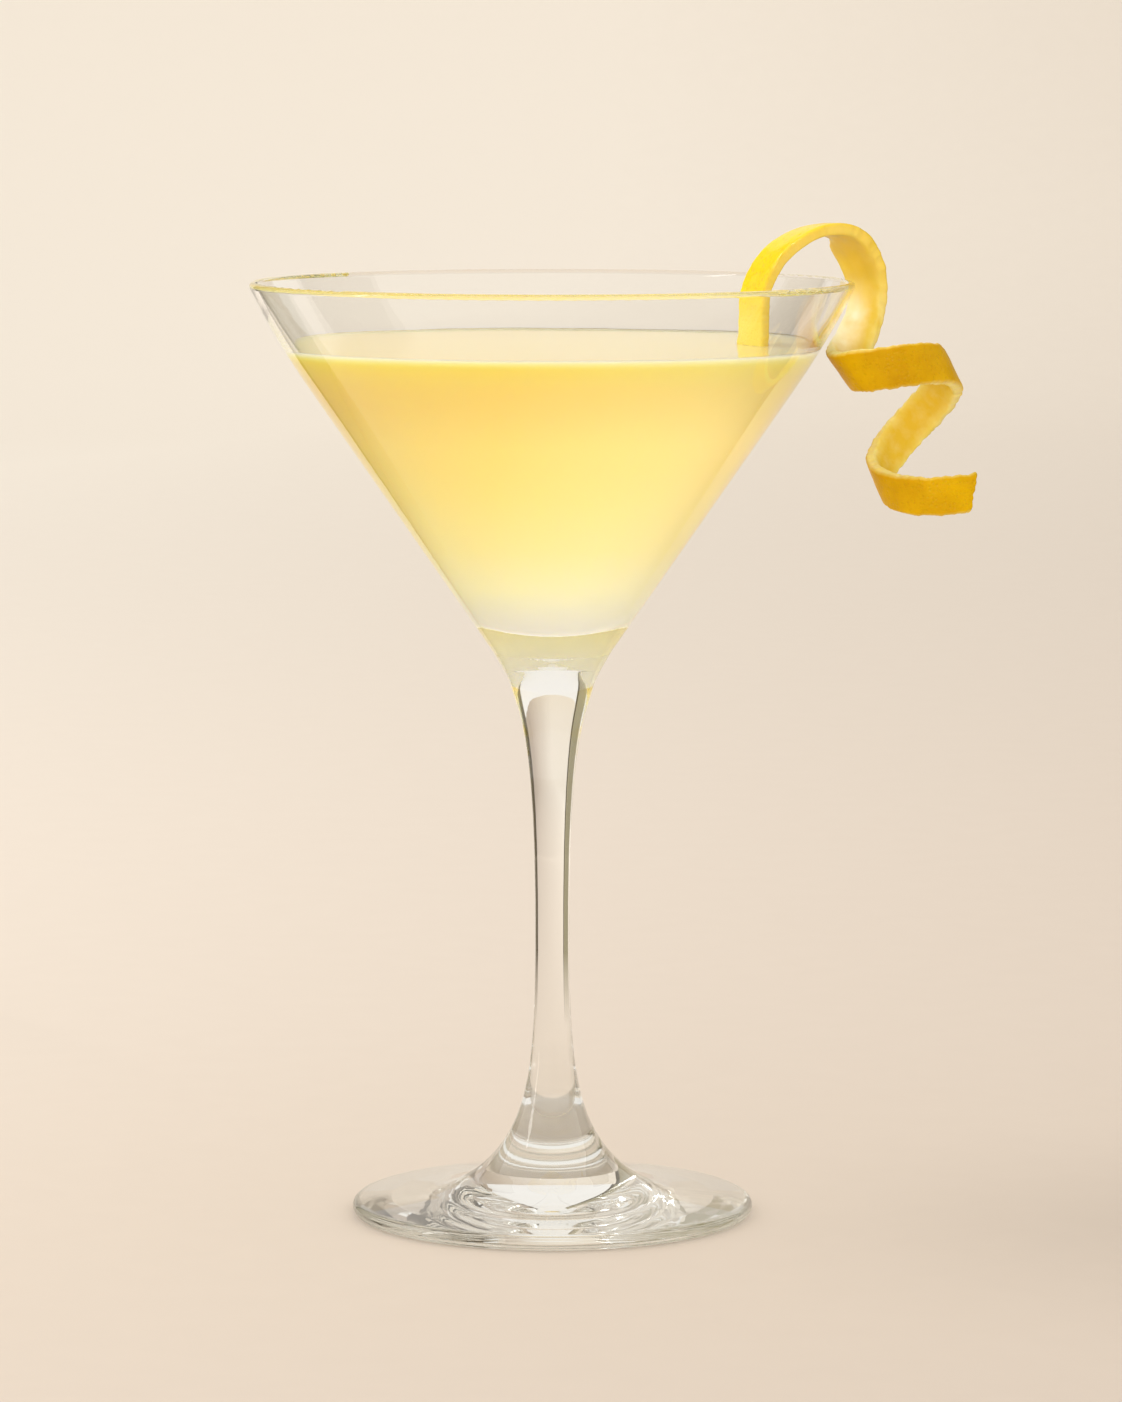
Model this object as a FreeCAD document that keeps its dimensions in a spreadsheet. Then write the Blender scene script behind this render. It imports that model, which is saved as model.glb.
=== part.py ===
import FreeCAD, Part

import math
import os

import Sketcher

# A martini cocktail: a stemmed V-shaped glass, the drink in it and a curled strip of lemon peel
# that hooks over the rim. Millimetres and degrees. The origin is the centre of the foot's
# underside, +Z is up, the front is towards -Y and the peel hangs on the rim at +X.

Vec = FreeCAD.Vector
FULL_TURN = 2 * math.pi

SIZES = {
    # the glass, outside
    "glass_height": 181.0,
    "rim_radius": 58.0,
    "rim_wall": 1.6,            # thickness of the rounded lip
    "lip_height": 21.0,         # the top stretch of the bowl, which bends more upright
    "lip_angle": 26.3,          # wall from the vertical at the lip
    "bowl_angle": 34.7,         # wall from the vertical on the straight part of the bowl
    "stem_radius": 3.1,         # at the thinnest place
    "upper_flare": 12.7,        # height in which the stem's swelling under the bowl falls to 1/e
    "lower_flare": 9.6,         # the same, above the foot
    "flare_angle": 48.0,        # wall from the vertical where the lower flare meets the foot's curve
    "foot_curve": 18.0,         # radius of the hollow curve from the flare to the foot
    "foot_radius": 38.9,
    "foot_edge": 3.1,           # thickness of the foot at its rounded edge
    "foot_slope": 6.4,          # rise of the foot's upper face, from the horizontal
    # the glass, inside and underneath
    "wall_taper": 3.0,          # how much further the inner wall leans, so the wall thickens downwards
    "bowl_bottom": 21.0,        # radius of the bowl's round bottom
    "punt_radius": 31.0,        # the hollow under the foot
    "punt_depth": 1.2,
    # the drink
    "drink_gap": 12.5,          # from the rim down to the drink's surface
    # the peel, as cut
    "peel_thickness": 2.3,
    "leg_width": 8.2,
    "coil_width": 8.2,
    "end_width": 7.3,
    "bulge": 4.2,               # how much wider the peel is where it passes the rim
    "bulge_length": 5.7,
    # the peel's hook over the rim
    "rim_clearance": 2.1624,    # from the rim out to the pith side of the hook's outer end
    "hook_bearing": 12.4325,    # place of that end round the rim, from +X to +Y
    "leg_length": 15.4,         # the leg that stands in the drink
    "leg_bend": 1.0,            # how far the leg's foot is bent aside
    "arch_bearing": 36.6,       # direction in which the arch crosses the rim, from +X to +Y
    "arch_span": 26.5,
    "arch_rise": 14.6,
    "arch_above_rim": 9.9,
    "arch_shift": 3.4,          # how far the arch's far leg moves along the peel's width
    "arch_swing": 3.9,          # the same for its top
    "arch_roll": -5.2,
    "arch_twist": 2.3,
    # the peel's coil outside the glass
    "coil_out": 2.1,            # the coil's middle, outward from the rim
    "coil_side": -2.6,
    "coil_drop": 2.7,           # and down from the rim
    "coil_radius": 10.9,
    "coil_pitch": 24.9,
    "coil_drift": 9.0,          # how far each turn lies outward from the one above
    "coil_tighten": 1.1,        # how much the radius falls in each turn
    "coil_tilt": 36.0,
    "coil_relax": 10.0,         # how much the tilt falls in each turn
    "coil_start": 82.5,         # angle on the coil, from +X to +Y
    "coil_end": 668.0,
    "tip_length": 13.0,         # the last stretch, which springs up
    "tip_lift": 1.5,
    "merge_before": 8.7,        # where the arch starts to turn into the coil
    "merge_length": 30.8,
}

PEEL_SECTIONS = 56              # rectangles that the peel's skin passes through
PEEL_PROBE = 0.05               # mm each way along the peel, to find its heading
STEM_POINTS = 17                # points of the stem's curve


def make_sheet(doc, sizes):
    """The spreadsheet that holds every driving dimension, one named cell each."""
    sheet = doc.addObject("Spreadsheet::Sheet", "Sizes")
    for row, (name, value) in enumerate(sizes.items(), start=1):
        sheet.set(f"A{row}", name)
        sheet.set(f"B{row}", str(value))
        sheet.setAlias(f"B{row}", name)
    doc.recompute()
    return sheet


def direction(angle):
    """Unit vector in a profile (radius, height), at this angle from the vertical, outward."""
    return Vec(math.sin(math.radians(angle)), math.cos(math.radians(angle)), 0)


def tangent(angle):
    return math.tan(math.radians(angle))


def smooth(share):
    """0 to 1 with level ends."""
    share = min(max(share, 0.0), 1.0)
    return share * share * (3 - 2 * share)


def arc(start, start_angle, end, end_angle):
    """Arc in a profile that leaves start and reaches end at these angles from the vertical."""
    heading = direction((start_angle + end_angle) / 2)
    right = Vec(heading.y, -heading.x, 0)
    bow = start.distanceToPoint(end) / 2 * math.tan(math.radians(start_angle - end_angle) / 4)
    return Part.Arc(start, (start + end) * 0.5 + right * bow, end)


# ---------------------------------------------------------------- profiles of the glass


def bead(size):
    """The lip's rounded top: where it meets the outer wall, its tip, and where it meets the inner."""
    radius = size.rim_wall / 2
    centre = Vec(size.rim_radius - radius, size.glass_height - radius, 0)
    along = direction(size.lip_angle)
    across = Vec(along.y, -along.x, 0)
    return centre + across * radius, centre + along * radius, centre - across * radius


def lip_start(size, lip, wall_angle):
    """Where the straight wall ends and the lip's bend begins."""
    height = size.glass_height - size.lip_height
    chord_slope = tangent((wall_angle + size.lip_angle) / 2)
    return Vec(lip.x - (lip.y - height) * chord_slope, height, 0)


def outer_profile(size):
    """Edges of the solid glass, before the bowl is hollowed, from the foot up to the lip."""
    half_edge = size.foot_edge / 2
    ring = Vec(size.foot_radius - half_edge, 0, 0)
    edge = Vec(size.foot_radius, half_edge, 0)
    shoulder = Vec(size.foot_radius - half_edge, size.foot_edge, 0)

    # the foot's curve, and above it the stem with its two flares
    steep = math.radians(90 - size.flare_angle)
    flat = math.radians(size.foot_slope)
    knee_radius = size.stem_radius + size.lower_flare * tangent(size.flare_angle)
    apron_radius = knee_radius + size.foot_curve * (math.sin(steep) - math.sin(flat))
    apron = Vec(apron_radius, shoulder.y + (shoulder.x - apron_radius) * math.tan(flat), 0)
    knee = Vec(knee_radius, apron.y + size.foot_curve * (math.cos(flat) - math.cos(steep)), 0)

    outer_lip, top_lip, inner_lip = bead(size)
    lip_foot = lip_start(size, outer_lip, size.bowl_angle)
    throat_radius = size.stem_radius + size.upper_flare * tangent(size.bowl_angle)
    throat = Vec(throat_radius, lip_foot.y - (lip_foot.x - throat_radius) / tangent(size.bowl_angle), 0)

    def stem_radius(height):
        above = (throat_radius - size.stem_radius) * math.exp((height - throat.y) / size.upper_flare)
        below = (knee_radius - size.stem_radius) * math.exp((knee.y - height) / size.lower_flare)
        return size.stem_radius + above + below

    stem_points = [knee]
    for step in range(1, STEM_POINTS - 1):
        share = (1 - math.cos(math.pi * step / (STEM_POINTS - 1))) / 2
        height = knee.y + (throat.y - knee.y) * share
        stem_points.append(Vec(stem_radius(height), height, 0))
    stem_points.append(throat)
    stem = Part.BSplineCurve()
    stem.interpolate(Points=stem_points, InitialTangent=direction(-size.flare_angle),
                     FinalTangent=direction(size.bowl_angle))

    return [
        Part.LineSegment(Vec(0, 0, 0), ring),
        Part.Arc(ring, edge, shoulder),
        Part.LineSegment(shoulder, apron),
        arc(apron, size.foot_slope - 90, knee, -size.flare_angle),
        stem,
        Part.LineSegment(throat, lip_foot),
        arc(lip_foot, size.bowl_angle, outer_lip, size.lip_angle),
        Part.Arc(outer_lip, top_lip, inner_lip),
        Part.LineSegment(inner_lip, Vec(0, inner_lip.y, 0)),
        Part.LineSegment(Vec(0, inner_lip.y, 0), Vec(0, 0, 0)),
    ]


def inner_angle(size):
    """The straight inner wall's angle from the vertical."""
    return size.bowl_angle + size.wall_taper


def bowl_bottom(size, wall_foot):
    """The round bottom inside the bowl: its lowest point, and where it meets the wall."""
    along = direction(inner_angle(size))
    centre = wall_foot.y - (wall_foot.x * along.y - size.bowl_bottom) / along.x
    joint = Vec(0, centre, 0) + Vec(along.y, -along.x, 0) * size.bowl_bottom
    return Vec(0, centre - size.bowl_bottom, 0), joint


def inner_profile(size):
    """Edges of the bowl's inside, closed across the top level with the inner lip."""
    inner_lip = bead(size)[2]
    wall_foot = lip_start(size, inner_lip, inner_angle(size))
    bottom, joint = bowl_bottom(size, wall_foot)
    return [
        arc(bottom, 90, joint, inner_angle(size)),
        Part.LineSegment(joint, wall_foot),
        arc(wall_foot, inner_angle(size), inner_lip, size.lip_angle),
        Part.LineSegment(inner_lip, Vec(0, inner_lip.y, 0)),
        Part.LineSegment(Vec(0, inner_lip.y, 0), bottom),
    ]


def punt_profile(size):
    """Edges of the shallow hollow under the foot."""
    edge = Vec(size.punt_radius, 0, 0)
    top = Vec(0, size.punt_depth, 0)
    rise = 2 * math.degrees(math.atan2(size.punt_depth, size.punt_radius))
    return [
        arc(top, 90, edge, 90 + rise),
        Part.LineSegment(edge, Vec(0, 0, 0)),
        Part.LineSegment(Vec(0, 0, 0), top),
    ]


# ---------------------------------------------------------------- bodies and sketches


def origin_feature(body, role):
    return next(item for item in body.Origin.OriginFeatures if item.Role == role)


def draw_profile(body, name, edges, bindings):
    """A sketch on the body's XZ plane: the edges in order, joined, with their points bound.

    Each binding is (constraint name, edge number, end of the edge, axis, expression).
    """
    sketch = body.newObject("Sketcher::SketchObject", name)
    sketch.AttachmentSupport = [(origin_feature(body, "XZ_Plane"), "")]
    sketch.MapMode = "FlatFace"
    for edge in edges:
        sketch.addGeometry(edge, False)
    for number in range(len(edges)):
        following = (number + 1) % len(edges)
        pairs = ((here, there) for here in (1, 2) for there in (1, 2))
        for here, there in pairs:
            gap = sketch.getPoint(number, here).distanceToPoint(sketch.getPoint(following, there))
            if gap < 1e-6:
                sketch.addConstraint(Sketcher.Constraint("Coincident", number, here, following, there))
    for label, number, end, axis, expression in bindings:
        place = sketch.getPoint(number, end)
        distance = place.x if axis == "X" else place.y
        kind = "Distance" + axis
        index = sketch.addConstraint(Sketcher.Constraint(kind, -1, 1, number, end, distance))
        sketch.renameConstraint(index, label)
        sketch.setExpression("Constraints." + label, expression)
    return sketch


def turn(body, kind, name, sketch):
    """A full Revolution or Groove of the sketch about its vertical axis."""
    feature = body.newObject("PartDesign::" + kind, name)
    feature.Profile = sketch
    feature.ReferenceAxis = (sketch, ["V_Axis"])
    feature.Angle = 360
    sketch.Visibility = False
    return feature


def bowl_bindings():
    """The bowl's inside follows the rim, its wall and the height where the lip begins."""
    return [
        ("wall_foot_height", 1, 2, "Y", "Sizes.glass_height - Sizes.lip_height"),
    ]


def make_glass(doc, size):
    """The glass: one turned solid, hollowed from above for the drink and from below for the punt."""
    body = doc.addObject("PartDesign::Body", "glass")
    outline = draw_profile(body, "glass_outline", outer_profile(size), [
        ("ring_radius", 0, 2, "X", "Sizes.foot_radius - Sizes.foot_edge / 2"),
        ("shoulder_height", 2, 1, "Y", "Sizes.foot_edge"),
        ("lip_foot_height", 5, 2, "Y", "Sizes.glass_height - Sizes.lip_height"),
    ])
    turn(body, "Revolution", "glass_turned", outline)
    bowl = draw_profile(body, "bowl_outline", inner_profile(size), bowl_bindings())
    turn(body, "Groove", "bowl_hollow", bowl)
    punt = draw_profile(body, "punt_outline", punt_profile(size), [
        ("punt_edge", 1, 1, "X", "Sizes.punt_radius"),
        ("punt_top", 2, 2, "Y", "Sizes.punt_depth"),
    ])
    turn(body, "Groove", "punt_hollow", punt)
    return body


# ---------------------------------------------------------------- the lemon peel


def hook_at(size, travel):
    """Centre of the hook and its zest side; travel is 0 where the arch springs from the leg.

    The hook is placed by its outer end, just outside the rim that it hangs on.
    """
    bearing = math.radians(size.arch_bearing)
    across = Vec(math.cos(bearing), math.sin(bearing), 0)
    aside = Vec(math.sin(bearing), -math.cos(bearing), 0)
    radius = size.arch_span / 2
    swept = min(max(travel / radius, 0), math.pi)
    below_spring = min(travel, 0) - max(travel - math.pi * radius, 0)
    spring = size.glass_height + size.arch_above_rim - size.arch_rise
    height = spring + size.arch_rise * math.sin(swept) + below_spring
    bend = size.leg_bend * (min(travel, 0) / size.leg_length) ** 2
    shift = size.arch_shift * smooth(swept / math.pi) + size.arch_swing * math.sin(swept) ** 2
    round_rim = math.radians(size.hook_bearing)
    reach = size.rim_radius + size.rim_clearance + size.peel_thickness / 2
    centre = Vec(reach * math.cos(round_rim), reach * math.sin(round_rim), height)
    centre += aside * (shift - bend) - across * (radius * (1 + math.cos(swept)))
    return centre, across * -math.cos(swept) + Vec(0, 0, math.sin(swept))


def coil_at(size, turns):
    """Centre of the coil and its zest side, so many turns down from where the hook ends."""
    angle = math.radians(size.coil_start) + FULL_TURN * turns
    tilt = math.radians(size.coil_tilt - size.coil_relax * turns)
    outward = Vec(math.cos(tilt), 0, math.sin(tilt)) * math.cos(angle) + Vec(0, math.sin(angle), 0)
    middle = Vec(size.rim_radius + size.coil_out, size.coil_side, size.glass_height - size.coil_drop)
    middle += Vec(size.coil_drift, 0, -size.coil_pitch) * turns
    return middle + outward * (size.coil_radius - size.coil_tighten * turns), outward


class Peel:
    """The strip's route: the hook, which turns gradually into the coil."""

    def __init__(self, size):
        self.size = size
        self.arch_end = math.pi * size.arch_span / 2
        self.merge_start = self.arch_end - size.merge_before
        self.merge_end = self.merge_start + size.merge_length
        self.turn_length = math.hypot(FULL_TURN * size.coil_radius, size.coil_pitch)
        turns = (size.coil_end - size.coil_start) / 360
        self.start = -size.leg_length
        self.end = self.merge_start + turns * self.turn_length

    def coil_share(self, travel):
        return smooth((travel - self.merge_start) / self.size.merge_length)

    def middle(self, travel):
        hook, hook_side = hook_at(self.size, travel)
        coil, coil_side = coil_at(self.size, (travel - self.merge_start) / self.turn_length)
        sprung = max(travel - self.end + self.size.tip_length, 0) / self.size.tip_length
        coil += Vec(0, 0, self.size.tip_lift * sprung ** 2)
        share = self.coil_share(travel)
        return hook * (1 - share) + coil * share, hook_side * (1 - share) + coil_side * share

    def width(self, travel):
        """Width of the strip, and how much of it is the bulge on the far edge."""
        size = self.size
        taper = max(travel - self.merge_end, 0) / (self.end - self.merge_end)
        plain = size.leg_width + (size.coil_width - size.leg_width) * smooth(travel / self.merge_end)
        plain += (size.end_width - size.coil_width) * taper
        bulge = size.bulge * math.exp(-((travel - self.merge_start) / size.bulge_length) ** 2)
        return plain + bulge, bulge

    def roll(self, travel):
        """Turn of the strip about its own length, in radians, on the hook only."""
        size = self.size
        along = min(max((travel - self.start) / (self.arch_end - self.start), 0), 1)
        angle = size.arch_roll * math.sin(math.pi * along) + size.arch_twist * (2 * smooth(along) - 1)
        return math.radians(angle) * (1 - self.coil_share(travel))

    def section(self, travel):
        """The rectangle across the strip, as a closed wire."""
        centre, side = self.middle(travel)
        before, after = self.middle(travel - PEEL_PROBE)[0], self.middle(travel + PEEL_PROBE)[0]
        heading = (after - before).normalize()
        level = (side - heading * side.dot(heading)).normalize()
        edgeways = heading.cross(level)
        roll = self.roll(travel)
        zest = level * math.cos(roll) + edgeways * math.sin(roll)
        near = edgeways * math.cos(roll) - level * math.sin(roll)
        width, bulge = self.width(travel)
        centre -= near * (bulge / 2)
        across = near * (width / 2)
        through = zest * (self.size.peel_thickness / 2)
        corners = [centre + across + through, centre + across - through,
                   centre - across - through, centre - across + through]
        return Part.makePolygon(corners + corners[:1])


def make_peel(doc, size):
    """The lemon peel: a strip of even thickness whose section turns along a free curl."""
    peel = Peel(size)
    step = (peel.end - peel.start) / (PEEL_SECTIONS - 1)
    sections = [peel.section(peel.start + step * number) for number in range(PEEL_SECTIONS)]
    feature = doc.addObject("Part::Feature", "lemon_twist")
    feature.Shape = Part.makeLoft(sections, True, False)
    feature.Placement = FreeCAD.Placement()
    return feature


# ---------------------------------------------------------------- the drink


def make_drink(doc, size, twist):
    """The drink: what fills the bowl up to its level, cut round the leg of the peel."""
    inside = doc.addObject("PartDesign::Body", "bowl_space")
    outline = draw_profile(inside, "space_outline", inner_profile(size), bowl_bindings())
    turn(inside, "Revolution", "space_turned", outline)

    below_level = doc.addObject("Part::Cylinder", "below_level")
    below_level.setExpression("Radius", "Sizes.rim_radius")
    below_level.setExpression("Height", "Sizes.glass_height - Sizes.drink_gap")

    filled = doc.addObject("Part::Common", "filled_bowl")
    filled.Base = inside
    filled.Tool = below_level

    drink = doc.addObject("Part::Cut", "drink")
    drink.Base = filled
    drink.Tool = twist
    return drink


# ---------------------------------------------------------------- build and export


def check(doc, nodes):
    """Stop if any object failed to compute, or a node's shape isn't one sound solid."""
    for item in doc.Objects:
        if "Invalid" in item.State or "Error" in item.State:
            raise RuntimeError(f"{item.Name} failed: {item.State}")
    for node in nodes:
        if node.Shape.isNull() or not node.Shape.isValid() or len(node.Shape.Solids) != 1:
            raise RuntimeError(f"{node.Label} is not one valid solid")


def main():
    doc = FreeCAD.newDocument("martini_cocktail")
    sheet = make_sheet(doc, SIZES)
    size = type("Size", (), {name: float(sheet.get(name)) for name in SIZES})
    glass = make_glass(doc, size)
    twist = make_peel(doc, size)
    drink = make_drink(doc, size, twist)
    nodes = {"glass": glass, "drink": drink, "lemon_twist": twist}
    for name, node in nodes.items():
        node.Label = name
    doc.recompute()
    check(doc, nodes.values())

    os.makedirs("parts", exist_ok=True)
    for name, node in nodes.items():
        node.Shape.exportStep(os.path.join("parts", name + ".step"))
        print(f"{name}: {node.Shape.Volume / 1000:.2f} cm3, box {node.Shape.BoundBox}")


main()
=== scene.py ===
import math

import bmesh
import bpy
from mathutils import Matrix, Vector, noise


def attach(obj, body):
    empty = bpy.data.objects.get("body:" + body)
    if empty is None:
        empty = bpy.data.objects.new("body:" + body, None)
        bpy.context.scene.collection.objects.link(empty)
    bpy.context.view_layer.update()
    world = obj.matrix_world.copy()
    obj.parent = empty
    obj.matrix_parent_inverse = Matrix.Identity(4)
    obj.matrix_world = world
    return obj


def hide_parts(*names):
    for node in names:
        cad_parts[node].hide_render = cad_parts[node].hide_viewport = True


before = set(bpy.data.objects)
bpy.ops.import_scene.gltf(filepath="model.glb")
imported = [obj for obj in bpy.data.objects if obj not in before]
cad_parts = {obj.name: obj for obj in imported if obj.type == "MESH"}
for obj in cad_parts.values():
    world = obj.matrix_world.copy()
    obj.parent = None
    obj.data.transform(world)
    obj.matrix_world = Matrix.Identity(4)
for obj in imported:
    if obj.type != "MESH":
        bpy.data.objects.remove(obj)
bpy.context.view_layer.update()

# A martini cocktail. Places are in the row's frame: the origin is the centre of the foot's
# underside, +Z is up, the front is towards -Y and the peel hangs on the rim at +X. Sizes of the
# glass, the drink and the peel are in millimetres and repeat the part's own; the stage, the lamps
# and what materials measure are in metres.

MM = 0.001
FULL_TURN = 2 * math.pi

RIM_RADIUS = 58.0
GLASS_HEIGHT = 181.0
RIM_WALL = 1.6
LIP_HEIGHT = 21.0                       # the bowl's last stretch, which bends more upright
LIP_ANGLE = math.radians(26.3)          # from upright, as is the bowl's
BOWL_ANGLE = 34.7
WALL_TAPER = 3.0                        # the inside leans this much more than the outside
INNER_ANGLE = math.radians(BOWL_ANGLE + WALL_TAPER)
BOWL_BOTTOM = 21.0                      # radius of the round bottom inside
DRINK_GAP = 12.5                        # from the rim down to the drink
DRINK_LEVEL = GLASS_HEIGHT - DRINK_GAP
DRINK_BOTTOM = 116.5                    # where the drink's colours start


# ---------------------------------------------------------------- helpers


def smooth(share):
    """0 to 1 with level ends."""
    share = min(max(share, 0.0), 1.0)
    return share * share * (3 - 2 * share)


def new_piece(name, mesh):
    piece = bpy.data.objects.new(name, mesh)
    bpy.context.scene.collection.objects.link(piece)
    return piece


def shade_smooth(mesh):
    mesh.polygons.foreach_set("use_smooth", [True] * len(mesh.polygons))


def turned(name, profile, segments):
    """A lathe mesh from (radius, height) points in millimetres; a radius of 0 is a single point."""
    points, rings, faces = [], [], []
    for radius, height in profile:
        first = len(points)
        if radius == 0:
            points.append((0, 0, height * MM))
        else:
            for step in range(segments):
                angle = FULL_TURN * step / segments
                points.append((radius * MM * math.cos(angle), radius * MM * math.sin(angle), height * MM))
        rings.append(range(first, len(points)))
    for low, high in zip(rings, rings[1:]):
        for step in range(segments):
            after = (step + 1) % segments
            if len(low) == 1:
                faces.append((low[0], high[after], high[step]))
            elif len(high) == 1:
                faces.append((low[step], low[after], high[0]))
            else:
                faces.append((low[step], low[after], high[after], high[step]))
    mesh = bpy.data.meshes.new(name)
    mesh.from_pydata(points, [], faces)
    mesh.update()
    shade_smooth(mesh)
    return mesh


class Nodes:
    """Short calls that add nodes to a new material and link them."""

    def __init__(self, name):
        self.material = bpy.data.materials.new(name)
        self.material.use_nodes = True
        self.tree = self.material.node_tree
        self.tree.nodes.clear()
        self.output = self.add("OutputMaterial")

    def add(self, kind, inputs=None, **settings):
        node = self.tree.nodes.new("ShaderNode" + kind)
        for name, value in settings.items():
            setattr(node, name, value)
        for name, value in (inputs or {}).items():
            socket = node.inputs[name]
            if isinstance(value, bpy.types.NodeSocket):
                self.tree.links.new(value, socket)
            else:
                socket.default_value = value
        return node

    def attribute(self, name, output="Fac"):
        return self.add("Attribute", attribute_name=name).outputs[output]

    def place(self):
        return self.add("TexCoord").outputs["Object"]

    def noise(self, place, scale, detail):
        return self.add("TexNoise", {"Vector": place, "Scale": scale, "Detail": detail}).outputs["Fac"]

    def math(self, operation, first, second=0.0, clamp=False):
        return self.add("Math", {0: first, 1: second}, operation=operation, use_clamp=clamp).outputs[0]

    def times(self, first, second, clamp=False):
        return self.math("MULTIPLY", first, second, clamp)

    def rest(self, share):
        """What is left of 1."""
        return self.math("SUBTRACT", 1.0, share)

    def span(self, value, start, end, low=0.0, high=1.0):
        """From low to high while the value goes from start to end."""
        return self.add("MapRange", {"Value": value, "From Min": start, "From Max": end,
                                     "To Min": low, "To Max": high}).outputs[0]

    def ramp(self, value, stops):
        node = self.add("ValToRGB", {"Fac": value})
        ramp = node.color_ramp
        while len(ramp.elements) < len(stops):
            ramp.elements.new(1.0)
        for element, (place, colour) in zip(ramp.elements, stops):
            element.position = place
            element.color = (*colour, 1)
        return node.outputs[0]

    def mix(self, factor, first, second):
        node = self.add("Mix", {"Factor": factor}, data_type="RGBA")
        for index, value in ((6, first), (7, second)):
            if isinstance(value, bpy.types.NodeSocket):
                self.tree.links.new(value, node.inputs[index])
            else:
                node.inputs[index].default_value = (*value, 1)
        return node.outputs[2]

    def mix_shader(self, factor, first, second):
        return self.add("MixShader", {0: factor, 1: first.outputs[0], 2: second.outputs[0]})

    def finish(self, surface, volume=None):
        self.tree.links.new(surface.outputs[0], self.output.inputs["Surface"])
        if volume is not None:
            self.tree.links.new(volume.outputs[0], self.output.inputs["Volume"])
        return self.material


# ---------------------------------------------------------------- camera, floor and light


def add_camera():
    data = bpy.data.cameras.new("camera")
    data.lens = 151.5
    data.sensor_width = 36
    camera = bpy.data.objects.new("camera", data)
    camera.location = (0.00167, -1.1313, 0.2294)
    camera.rotation_euler = (math.radians(83.48), 0, 0)
    bpy.context.scene.collection.objects.link(camera)
    bpy.context.scene.camera = camera


def floor_material():
    """Warm paper with painted light: paler towards the back and towards the key light, as a painted glow of
    the lamp on the floor.
    """
    nodes = Nodes("floor_paper_painted_glow")
    place = nodes.place()
    split = nodes.add("SeparateXYZ", {"Vector": place})
    grain = nodes.noise(place, 90.0, 4.0)
    # painted light: the paper is painted paler towards -X, where the key light stands, and towards the back
    sideways = nodes.times(split.outputs["X"], -0.55)
    away = nodes.span(split.outputs["Y"], -0.3, 2.6, 0.20, 1.0)
    shade = nodes.math("ADD", nodes.math("ADD", sideways, away), nodes.times(grain, 0.04))
    colour = nodes.ramp(shade, [
        (0.0, (0.54, 0.465, 0.40)),
        (0.35, (0.68, 0.605, 0.53)),
        (1.0, (0.94, 0.89, 0.81)),
    ])
    return nodes.finish(nodes.add("BsdfPrincipled", {
        "Base Color": colour, "Roughness": 0.9, "Specular IOR Level": 0.1,
    }))


def add_floor():
    """A round floor that sweeps up into a low wall all round."""
    edge, sweep, sweep_steps = 2200, 900, 16
    profile = [(radius, 0) for radius in (0, 50, 150, 400, 900, 1600, edge)]
    for step in range(1, sweep_steps + 1):
        angle = math.pi / 2 * step / sweep_steps
        profile.append((edge + sweep * math.sin(angle), sweep * (1 - math.cos(angle))))
    floor = new_piece("floor", turned("floor", profile, 96))
    floor.location = (0, 0, -0.02 * MM)
    floor.data.materials.append(floor_material())


def add_lamp(name, place, target, size, power, colour):
    data = bpy.data.lights.new(name, "AREA")
    data.shape = "RECTANGLE"
    data.size, data.size_y = size
    data.energy = power
    data.color = colour
    lamp = bpy.data.objects.new(name, data)
    lamp.location = place
    lamp.rotation_euler = (Vector(target) - Vector(place)).to_track_quat("-Z", "Y").to_euler()
    lamp.visible_camera = False
    bpy.context.scene.collection.objects.link(lamp)
    return lamp


def add_card(name, angles, colour):
    """A curved card behind the set, from one bearing to another (from +Y towards +X).

    It stands upright and runs out over the floor towards the set, where it fades away. Only glass
    shows it: the dark of a studio beside the paper gives clear glass its outline.
    """
    distance, height, clearance = 0.50, 0.85, 0.0006
    fade_start, fade_end = 0.30, 0.14
    # distance, height and cover of each row of points
    rows = [(fade_end, clearance, 0.0), (fade_start, clearance, 1.0),
            (distance, clearance, 1.0), (distance, height, 1.0)]
    steps = 8
    points, covers, faces = [], [], []
    for step in range(steps + 1):
        bearing = math.radians(angles[0] + (angles[1] - angles[0]) * step / steps)
        for away, level, cover in rows:
            points.append((away * math.sin(bearing), away * math.cos(bearing), level))
            covers.append(cover)
    for step in range(steps):
        for row in range(len(rows) - 1):
            here = step * len(rows) + row
            beside = here + len(rows)
            faces.append((here, beside, beside + 1, here + 1))
    mesh = bpy.data.meshes.new(name)
    mesh.from_pydata(points, [], faces)
    mesh.attributes.new("cover", "FLOAT", "POINT").data.foreach_set("value", covers)
    card = new_piece(name, mesh)
    card.visible_camera = card.visible_diffuse = card.visible_shadow = False
    nodes = Nodes(name)
    glow = nodes.add("Emission", {"Color": (*colour, 1), "Strength": 1.0})
    clear = nodes.add("BsdfTransparent")
    card.data.materials.append(nodes.finish(nodes.mix_shader(nodes.attribute("cover"), clear, glow)))


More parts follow.
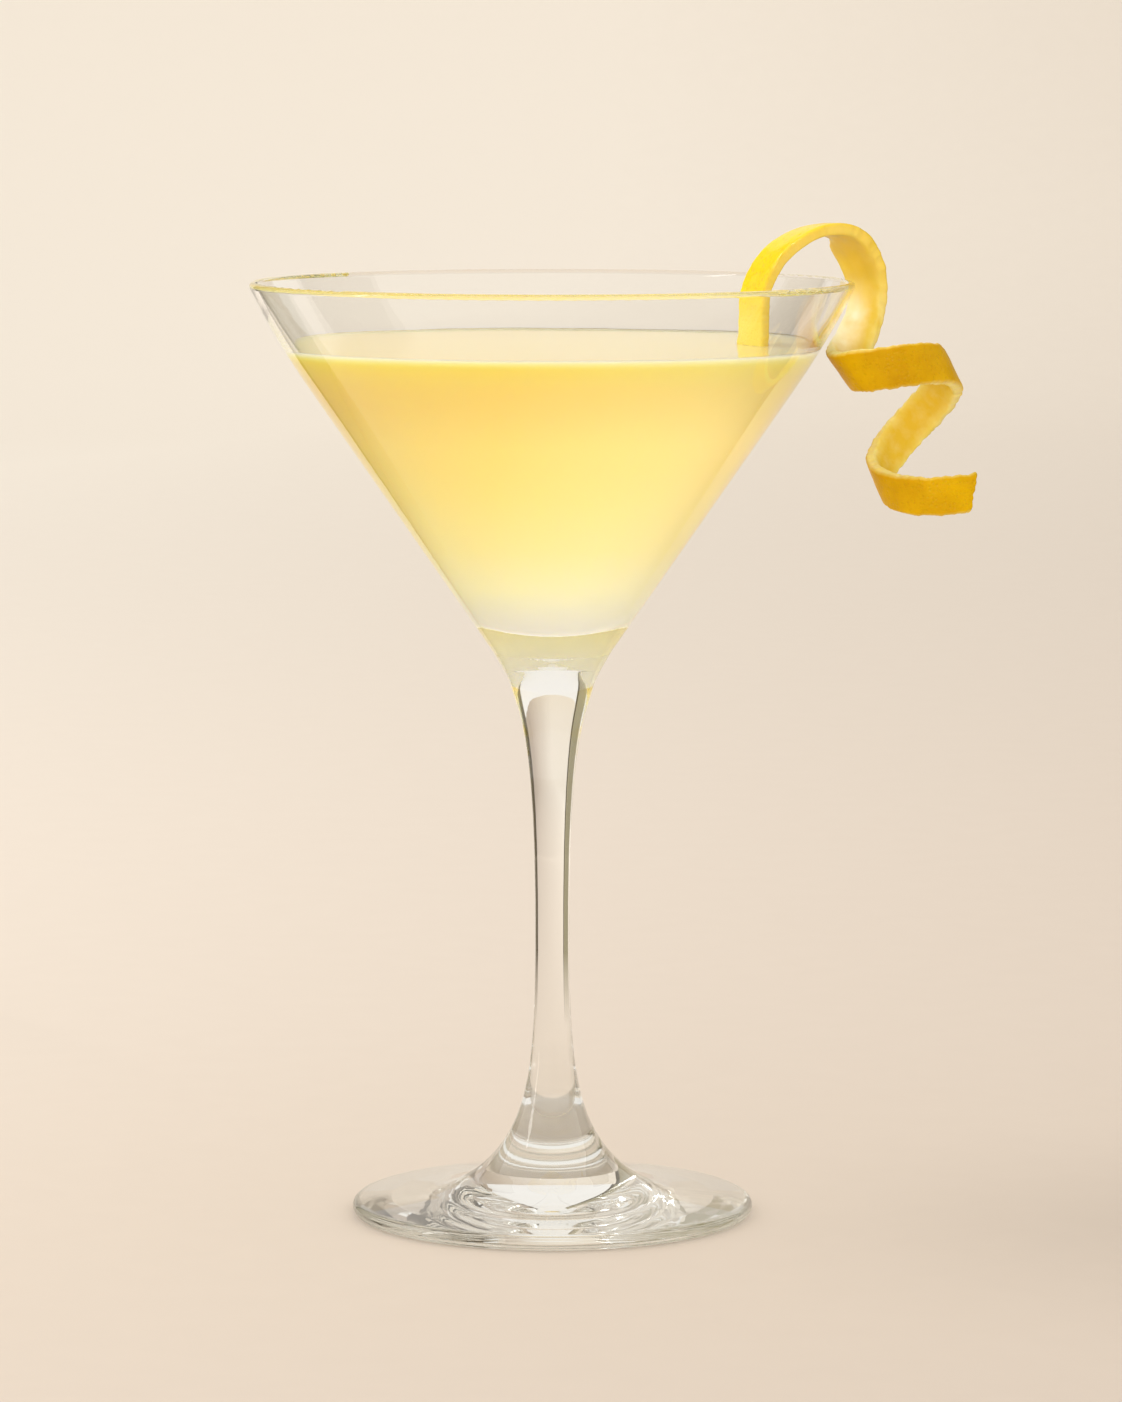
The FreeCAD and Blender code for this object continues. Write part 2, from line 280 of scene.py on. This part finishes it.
def add_light():
    scene = bpy.context.scene
    scene.view_settings.view_transform = "Standard"
    # light bounces many times inside thick clear glass, and would end as black patches in the foot
    scene.cycles.max_bounces = 40
    scene.cycles.glossy_bounces = scene.cycles.transmission_bounces = 36
    scene.cycles.transparent_max_bounces = 24
    world = bpy.data.worlds.new("studio")
    world.use_nodes = True
    background = world.node_tree.nodes["Background"]
    background.inputs["Color"].default_value = (1.0, 0.955, 0.90, 1)
    background.inputs["Strength"].default_value = 0.95
    scene.world = world
    # the two soft lamps leave no mirror image in the glass, and the strip leaves only that
    key = add_lamp("key", (-0.9, 0.1, 1.1), (0, 0, 0.08), (0.7, 0.7), 8, (1.0, 0.96, 0.90))
    fill = add_lamp("fill", (0.2, -2.0, 0.3), (0, 0, 0.14), (1.6, 0.5), 14, (1.0, 0.97, 0.93))
    for lamp in (key, fill):
        lamp.visible_glossy = lamp.visible_transmission = False
    strip = add_lamp("strip", (-1.0, -0.25, 0.45), (0, 0, 0.1), (0.10, 0.9), 1.5, (1.0, 0.99, 0.97))
    strip.visible_diffuse = False
    add_card("dark_right", (44, 85), (0.05, 0.036, 0.016))
    add_card("line_left", (-29, -32), (0.10, 0.08, 0.045))
    add_card("olive_left", (-32, -56), (0.36, 0.31, 0.19))


def add_glint(piece):
    """A small lamp over the camera that only this piece shows, as glints on its wet skin."""
    glint = add_lamp("glint", (-0.25, -1.2, 0.75), (0.05, 0, 0.18), (0.35, 0.35), 8, (1.0, 1.0, 1.0))
    glint.visible_diffuse = glint.visible_transmission = False
    receivers = bpy.data.collections.new("glint_receivers")
    receivers.objects.link(piece)
    glint.light_linking.receiver_collection = receivers


# ---------------------------------------------------------------- the glass


def glass_material():
    """Clear glass that lets the lamps' light through to what is in it."""
    nodes = Nodes("clear_glass")
    waves = nodes.noise(nodes.place(), 14.0, 1.0)
    bump = nodes.add("Bump", {"Height": waves, "Strength": 0.02, "Distance": 1 * MM})
    glass = nodes.add("BsdfPrincipled", {
        "Base Color": (0.995, 1.0, 0.992, 1), "Roughness": 0.0, "IOR": 1.5,
        "Transmission Weight": 1.0, "Normal": bump.outputs[0],
    })
    clear = nodes.add("BsdfTransparent", {"Color": (0.975, 0.975, 0.965, 1)})
    shadow = nodes.add("LightPath").outputs["Is Shadow Ray"]
    # thick places, such as the foot's edge, come out a little darker and greener
    depth = nodes.add("VolumeAbsorption", {"Color": (0.72, 0.79, 0.72, 1), "Density": 4.5})
    return nodes.finish(nodes.mix_shader(shadow, glass, clear), depth)


def dress_glass():
    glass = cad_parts["glass"]
    glass.data.materials.clear()
    glass.data.materials.append(glass_material())


# ---------------------------------------------------------------- the drink


def inner_wall():
    """The bowl's inside from its bottom up to the lip: (radius, height) points and their normals."""
    bead = RIM_WALL / 2
    lip_radius = RIM_RADIUS - bead - bead * math.cos(LIP_ANGLE)
    lip_height = GLASS_HEIGHT - bead + bead * math.sin(LIP_ANGLE)
    foot_height = GLASS_HEIGHT - LIP_HEIGHT
    foot_radius = lip_radius - (lip_height - foot_height) * math.tan((INNER_ANGLE + LIP_ANGLE) / 2)
    centre = foot_height - (foot_radius * math.cos(INNER_ANGLE) - BOWL_BOTTOM) / math.sin(INNER_ANGLE)
    bottom_steps, wall_steps, bend_steps = 24, 24, 40

    points = []
    for step in range(bottom_steps + 1):
        angle = (math.pi / 2 - INNER_ANGLE) * step / bottom_steps - math.pi / 2
        normal = (math.cos(angle), math.sin(angle))
        points.append(((BOWL_BOTTOM * normal[0], centre + BOWL_BOTTOM * normal[1]), normal))
    joint_radius, joint_height = points[-1][0]
    normal = (math.cos(INNER_ANGLE), -math.sin(INNER_ANGLE))
    for step in range(1, wall_steps + 1):
        share = step / wall_steps
        points.append(((joint_radius + (foot_radius - joint_radius) * share,
                        joint_height + (foot_height - joint_height) * share), normal))
    chord = math.hypot(lip_radius - foot_radius, lip_height - foot_height)
    bend = chord / (2 * math.sin((INNER_ANGLE - LIP_ANGLE) / 2))
    for step in range(1, bend_steps + 1):
        angle = INNER_ANGLE + (LIP_ANGLE - INNER_ANGLE) * step / bend_steps
        points.append(((foot_radius + bend * (math.cos(angle) - math.cos(INNER_ANGLE)),
                        foot_height + bend * (math.sin(INNER_ANGLE) - math.sin(angle))),
                       (math.cos(angle), -math.sin(angle))))
    return points


def drink_profile():
    """The drink's outline: just inside the glass's wall, up to the edge where it climbs, and level."""
    into_wall = 0.25
    climb, reach = 0.6, 1.0
    profile = []
    for (radius, height), normal in inner_wall():
        if height > DRINK_LEVEL + climb:
            break
        profile.append((radius + normal[0] * into_wall, height + normal[1] * into_wall))
    profile[0] = (0, profile[0][1])
    edge_radius, edge_height = profile[-1]
    for inward in (0.3, 0.6, 0.9, 1.3, 1.8, 2.4, 3.2, 4.2, 5.5, 7.5, 10):
        raised = (edge_height - DRINK_LEVEL) * math.exp(-inward / reach)
        profile.append((edge_radius - inward, DRINK_LEVEL + raised))
    for radius in range(36, -1, -4):
        profile.append((radius, DRINK_LEVEL))
    return profile


def drink_material():
    """A hazy liquid with painted light: paler low down and on the side away from the key light, and lit from
    within by a painted glow.
    """
    nodes = Nodes("drink")
    split = nodes.add("SeparateXYZ", {"Vector": nodes.place()})
    sideways, up = split.outputs["X"], split.outputs["Z"]
    height = nodes.span(up, DRINK_BOTTOM * MM, DRINK_LEVEL * MM)
    # painted light: deep yellow near the top and pale cream low down, in place of light passing through the
    # hazy drink
    colour = nodes.ramp(height, [
        (0.0, (1.0, 0.95, 0.84)),
        (0.06, (1.0, 0.94, 0.72)),
        (0.14, (1.0, 0.91, 0.54)),
        (0.5, (1.0, 0.84, 0.32)),
        (0.93, (1.0, 0.76, 0.22)),
        (0.975, (0.94, 0.70, 0.17)),
        (0.995, (0.90, 0.73, 0.27)),
    ])
    # painted light: paler still towards +X, the side away from the key light, most of all low down
    low = nodes.math("ADD", nodes.times(nodes.rest(height), 0.9), 0.35)
    pale = nodes.times(nodes.span(sideways, -0.01, 0.045), low, True)
    colour = nodes.mix(pale, colour, (1.0, 0.96, 0.66))

    # the glow is painted light: an emission standing in for light that a hazy drink carries through from
    # behind, which the top doesn't show; a thin painted highlight runs where the drink climbs the wall
    level = DRINK_LEVEL * MM
    depth = nodes.span(up, level - 0.3 * MM, level - 16.5 * MM, 0.22, 1.0)
    side = nodes.span(sideways, -0.035, 0.03, 0.45, 1.0)
    below = nodes.math("LESS_THAN", up, level - 0.01 * MM)
    painted_climb_highlight = nodes.span(up, level + 0.1 * MM, level + 0.7 * MM, 0.0, 0.3)
    glow = nodes.math("ADD", nodes.times(nodes.times(depth, side), nodes.times(below, 0.9)), painted_climb_highlight)
    painted_glow_colour = nodes.ramp(height, [
        (0.0, (1.0, 0.97, 0.88)),
        (0.12, (1.0, 0.90, 0.62)),
        (0.3, (1.0, 0.75, 0.28)),
        (0.6, (1.0, 0.66, 0.20)),
        (0.99, (1.0, 0.70, 0.24)),
    ])
    return nodes.finish(nodes.add("BsdfPrincipled", {
        "Base Color": colour, "Roughness": 0.03, "IOR": 1.33, "Subsurface Weight": 1.0,
        "Subsurface Radius": (0.008, 0.0075, 0.005), "Subsurface Scale": 1.0,
        "Emission Color": nodes.mix(glow, (0.0, 0.0, 0.0), painted_glow_colour), "Emission Strength": 0.48,
    }))


def add_drink():
    drink = new_piece("drink_surface", turned("drink_surface", drink_profile(), 192))
    drink.data.materials.append(drink_material())
    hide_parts("drink")
    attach(drink, "root")


# ---------------------------------------------------------------- the lemon peel


class Peel:
    """The strip's route: the hook over the rim, which turns gradually into the coil."""

    thickness = 2.3
    leg_width, coil_width, end_width = 8.2, 8.2, 7.3
    bulge, bulge_length = 4.2, 5.7
    rim_clearance, hook_bearing = 2.1624, math.radians(12.4325)
    leg_length, leg_bend = 15.4, 1.0
    arch_bearing, arch_span, arch_rise, arch_above_rim = math.radians(36.6), 26.5, 14.6, 9.9
    arch_shift, arch_swing, arch_roll, arch_twist = 3.4, 3.9, -5.2, 2.3
    coil_out, coil_side, coil_drop = 2.1, -2.6, 2.7
    coil_radius, coil_pitch, coil_drift, coil_tighten = 10.9, 24.9, 9.0, 1.1
    coil_tilt, coil_relax = 36.0, 10.0
    coil_start, coil_end = 82.5, 668.0
    tip_length, tip_lift = 13.0, 1.5
    merge_before, merge_length = 8.7, 30.8
    probe = 0.05

    def __init__(self):
        self.arch_end = math.pi * self.arch_span / 2
        self.merge_start = self.arch_end - self.merge_before
        self.merge_end = self.merge_start + self.merge_length
        self.turn_length = math.hypot(FULL_TURN * self.coil_radius, self.coil_pitch)
        self.start = -self.leg_length
        self.end = self.merge_start + (self.coil_end - self.coil_start) / 360 * self.turn_length

    def hook_at(self, travel):
        """The hook's middle and zest side; travel is 0 where the arch springs from the leg."""
        across = Vector((math.cos(self.arch_bearing), math.sin(self.arch_bearing), 0))
        aside = Vector((across.y, -across.x, 0))
        radius = self.arch_span / 2
        swept = min(max(travel / radius, 0), math.pi)
        below_spring = min(travel, 0) - max(travel - math.pi * radius, 0)
        spring = GLASS_HEIGHT + self.arch_above_rim - self.arch_rise
        height = spring + self.arch_rise * math.sin(swept) + below_spring
        bend = self.leg_bend * (min(travel, 0) / self.leg_length) ** 2
        shift = self.arch_shift * smooth(swept / math.pi) + self.arch_swing * math.sin(swept) ** 2
        reach = RIM_RADIUS + self.rim_clearance + self.thickness / 2
        centre = Vector((reach * math.cos(self.hook_bearing), reach * math.sin(self.hook_bearing), height))
        centre += aside * (shift - bend) - across * (radius * (1 + math.cos(swept)))
        return centre, across * -math.cos(swept) + Vector((0, 0, math.sin(swept)))

    def coil_at(self, turns):
        """The coil's middle and zest side, so many turns down from where the hook ends."""
        angle = math.radians(self.coil_start) + FULL_TURN * turns
        tilt = math.radians(self.coil_tilt - self.coil_relax * turns)
        outward = Vector((math.cos(tilt) * math.cos(angle), math.sin(angle),
                          math.sin(tilt) * math.cos(angle)))
        middle = Vector((RIM_RADIUS + self.coil_out, self.coil_side, GLASS_HEIGHT - self.coil_drop))
        middle += Vector((self.coil_drift, 0, -self.coil_pitch)) * turns
        return middle + outward * (self.coil_radius - self.coil_tighten * turns), outward

    def coil_share(self, travel):
        return smooth((travel - self.merge_start) / self.merge_length)

    def middle(self, travel):
        hook, hook_side = self.hook_at(travel)
        coil, coil_side = self.coil_at((travel - self.merge_start) / self.turn_length)
        sprung = max(travel - self.end + self.tip_length, 0) / self.tip_length
        coil += Vector((0, 0, self.tip_lift * sprung ** 2))
        share = self.coil_share(travel)
        return hook.lerp(coil, share), hook_side.lerp(coil_side, share)

    def width(self, travel):
        """Width of the strip, and how much of it is the bulge on the far edge."""
        taper = max(travel - self.merge_end, 0) / (self.end - self.merge_end)
        plain = self.leg_width + (self.coil_width - self.leg_width) * smooth(travel / self.merge_end)
        plain += (self.end_width - self.coil_width) * taper
        bulge = self.bulge * math.exp(-((travel - self.merge_start) / self.bulge_length) ** 2)
        return plain + bulge, bulge

    def roll(self, travel):
        along = min(max((travel - self.start) / (self.arch_end - self.start), 0), 1)
        angle = self.arch_roll * math.sin(math.pi * along) + self.arch_twist * (2 * smooth(along) - 1)
        return math.radians(angle) * (1 - self.coil_share(travel))

    def frame_at(self, travel):
        """The strip's middle, the ways to its near edge, its zest side and its free end, and its width."""
        centre, side = self.middle(travel)
        before, after = self.middle(travel - self.probe)[0], self.middle(travel + self.probe)[0]
        heading = (after - before).normalized()
        level = (side - heading * side.dot(heading)).normalized()
        edgeways = heading.cross(level)
        roll = self.roll(travel)
        zest = level * math.cos(roll) + edgeways * math.sin(roll)
        near = edgeways * math.cos(roll) - level * math.sin(roll)
        width, bulge = self.width(travel)
        return centre - near * (bulge / 2), near, zest, heading, width


def peel_section(width, thickness):
    """Ring of (across, through, zest share) round the strip, in millimetres, zest side first."""
    half, depth = width / 2, thickness / 2
    round_zest, round_pith = 0.55, 0.6
    shoulder, crown = 0.10, 0.12        # the zest side sinks at its edges and swells between them
    zest_depth = 0.75                   # skin on the cut edge
    waist, inset = 0.06, 0.14           # how far that edge slopes in, at its middle and at the pith
    zest_steps, pith_steps, corner_steps = 30, 12, 4

    zest_side = []
    for step in range(zest_steps + 1):
        share = step / zest_steps * 2 - 1
        swell = crown * (1 - share * share)
        zest_side.append((-share * (half - round_zest), depth - shoulder + swell, 1.0))
    pith_side = []
    for step in range(1, pith_steps):
        share = step / pith_steps * 2 - 1
        pith_side.append((share * (half - round_pith - inset), -depth, 0.0))

    # one cut edge, from the zest to the pith
    corner = [math.pi / 2 * step / corner_steps for step in range(1, corner_steps)]
    edge = []
    for step, angle in enumerate(corner, start=1):
        edge.append((half - round_zest + round_zest * math.sin(angle),
                     depth - shoulder - round_zest * (1 - math.cos(angle)),
                     1 - 0.5 * step / len(corner)))
    edge.append((half, depth - zest_depth, 0.15))
    edge.append((half - waist, 0.0, 0.0))
    edge.append((half - inset, -depth + round_pith, 0.0))
    for angle in corner:
        edge.append((half - inset - round_pith * (1 - math.cos(angle)),
                     -depth + round_pith * (1 - math.sin(angle)), 0.0))
    far_edge = [(-across, through, share) for across, through, share in edge]
    return zest_side + far_edge + pith_side + edge[::-1]


def ragged(travel, seed):
    """How far the knife strayed from one edge, in millimetres."""
    slow = noise.noise(Vector((travel * 0.45, seed, 0)))
    quick = noise.noise(Vector((travel * 1.3, seed + 4.6, 0)))
    return slow * 0.30 + quick * 0.18


def skin(travel, across, through, share):
    """Lumps of the zest or the pith and pores of the zest, outward, in millimetres."""
    if abs(through) <= 0.5:
        return 0.0
    zest_side = through > 0
    lump = noise.noise(Vector((travel * 0.22, across * 0.35, 5.0 if zest_side else 25.0)))
    lump *= 0.10 if zest_side else 0.28
    if share == 1.0:
        pore = noise.voronoi(Vector((travel * 0.85, across * 0.85, 0)))[0][0]
        lump -= 0.09 * (1 - smooth(pore / 0.42))
    return lump


def peel_mesh():
    """The strip as one closed skin, with how much of each point is zest and its place on the strip."""
    peel = Peel()
    steps, slant_length = 700, 6.0
    points, shares, places, sides, faces = [], [], [], [], []
    for step in range(steps + 1):
        travel = peel.start + (peel.end - peel.start) * step / steps
        centre, near, zest, heading, width = peel.frame_at(travel)
        far_stray, near_stray = ragged(travel, 3.1), ragged(travel, 13.1)
        at_end = (max(travel - peel.end + slant_length, 0) / slant_length) ** 2
        ring = peel_section(width, peel.thickness)
        for across, through, share in ring:
            side = across / (width / 2)
            push = near_stray * max(side, 0) ** 3 - far_stray * max(-side, 0) ** 3
            out = through + skin(travel, across, through, share)
            # the free end is cut aslant and a little ragged
            slant = (-1.7 * side - 0.3 + 0.5 * noise.noise(Vector((across * 0.9, 41.0, 0)))) * at_end
            point = centre + near * (across + push) + zest * out + heading * slant
            points.append(point * MM)
            shares.append(share)
            sides.append(side)
            places.append((travel * MM, across * MM, through * MM))
    count = len(ring)
    for step in range(steps):
        low, high = step * count, (step + 1) * count
        for index in range(count):
            after = (index + 1) % count
            faces.append((low + index, low + after, high + after, high + index))
    for first in (0, steps * count):
        middle = len(points)
        points.append(sum(points[first:first + count], Vector()) / count)
        shares.append(0.0)
        sides.append(0.0)
        places.append((places[first][0], 0, 0))
        for index in range(count):
            faces.append((middle, first + (index + 1) % count, first + index))
    mesh = bpy.data.meshes.new("peel")
    mesh.from_pydata(points, [], faces)
    mesh.update()
    for name, kind, field, values in (
            ("zest", "FLOAT", "value", shares),
            ("side", "FLOAT", "value", sides),
            ("strip", "FLOAT_VECTOR", "vector", [value for row in places for value in row])):
        mesh.attributes.new(name, kind, "POINT").data.foreach_set(field, values)
    work = bmesh.new()
    work.from_mesh(mesh)
    bmesh.ops.recalc_face_normals(work, faces=work.faces)
    work.to_mesh(mesh)
    work.free()
    shade_smooth(mesh)
    return mesh


def zest_colour(nodes, strip, run, coiled, pits):
    """Painted light: bright as if lit on the hook and golden as if in shade on the coil; darker in the
    pores; and paler on the leg below the rim, painted light where it shows lit through the glass.
    """
    patches = nodes.noise(strip, 90.0, 4.0)
    # painted light: the hook's zest is painted as lit and the coil's as in shade
    painted_lit_zest = nodes.ramp(patches, [(0.3, (0.86, 0.59, 0.0)), (0.7, (0.92, 0.68, 0.0))])
    painted_shaded_zest = nodes.ramp(patches, [(0.3, (0.56, 0.29, 0.0)), (0.7, (0.78, 0.475, 0.0))])
    colour = nodes.mix(coiled, painted_lit_zest, painted_shaded_zest)
    colour = nodes.mix(nodes.times(nodes.rest(pits), 0.30), colour, (0.56, 0.33, 0.0))
    # painted light: the leg below the rim is painted paler, as it shows lit through the glass
    painted_light_below_rim = nodes.span(run, 0.003, -0.004)
    return nodes.mix(nodes.times(painted_light_below_rim, 0.8), colour, (0.96, 0.80, 0.14))


def pith_colour(nodes, strip, run, fibres):
    """Yellow down the middle and cream at the edges, in blotches, with pale fibres and a painted highlight
    just past the rim.
    """
    side = nodes.attribute("side")
    blotches = nodes.noise(strip, 260.0, 3.0)
    strayed = nodes.times(nodes.math("SUBTRACT", blotches, 0.5), 0.9)
    colour = nodes.ramp(nodes.math("ADD", nodes.math("ABSOLUTE", side), strayed), [
        (0.40, (0.78, 0.54, 0.04)),
        (0.80, (0.84, 0.66, 0.12)),
        (1.0, (0.93, 0.79, 0.27)),
    ])
    pale = nodes.times(nodes.math("SUBTRACT", fibres, 0.42, True), 0.8)
    colour = nodes.mix(pale, colour, (0.93, 0.82, 0.38))
    deep = nodes.times(nodes.span(run, 0.044, 0.036), 0.75)
    colour = nodes.mix(deep, colour, (0.93, 0.66, 0.07))
    # a painted highlight: the pith is painted whitest just past the rim, near where the strip is widest,
    # where the light falls on it
    past_rim = nodes.ramp(run, [
        (0.038, (0, 0, 0)),
        (0.043, (1, 1, 1)),
        (0.048, (1, 1, 1)),
        (0.056, (0, 0, 0)),
    ])
    painted_pith_highlight = nodes.times(nodes.times(past_rim, nodes.span(side, 0.6, -0.3)), nodes.times(blotches, 1.6, True))
    return nodes.mix(painted_pith_highlight, colour, (1.0, 0.93, 0.66))


def peel_material():
    """Pored zest and soft pith; the hook, which has been in the drink, is wet."""
    nodes = Nodes("lemon_peel")
    strip = nodes.attribute("strip", "Vector")
    share = nodes.attribute("zest")
    run = nodes.add("SeparateXYZ", {"Vector": strip}).outputs["X"]
    coiled = nodes.span(run, 0.012, 0.055)
    pores = nodes.add("TexVoronoi", {"Vector": strip, "Scale": 1150.0, "Randomness": 0.9})
    pits = nodes.span(pores.outputs["Distance"], 0.05, 0.42)
    fibres = nodes.noise(strip, 420.0, 5.0)
    colour = nodes.mix(share, pith_colour(nodes, strip, run, fibres),
                       zest_colour(nodes, strip, run, coiled, pits))
    relief = nodes.math("ADD", nodes.times(pits, share), nodes.times(fibres, nodes.rest(share)))
    bump = nodes.add("Bump", {"Height": relief, "Strength": 0.5, "Distance": 0.18 * MM})
    return nodes.finish(nodes.add("BsdfPrincipled", {
        "Base Color": colour, "Roughness": 0.42, "IOR": 1.45, "Specular IOR Level": 0.12,
        "Subsurface Weight": 0.25, "Subsurface Radius": (0.0022, 0.0015, 0.0004),
        "Subsurface Scale": 1.0, "Normal": bump.outputs[0],
        "Coat Weight": nodes.times(nodes.rest(coiled), 0.55), "Coat Roughness": 0.1,
    }))


def add_peel():
    peel = new_piece("lemon_peel", peel_mesh())
    peel.data.materials.append(peel_material())
    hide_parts("lemon_twist")
    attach(peel, "root")
    add_glint(peel)


# ---------------------------------------------------------------- the scene


add_camera()
add_floor()
add_light()
dress_glass()
add_drink()
add_peel()
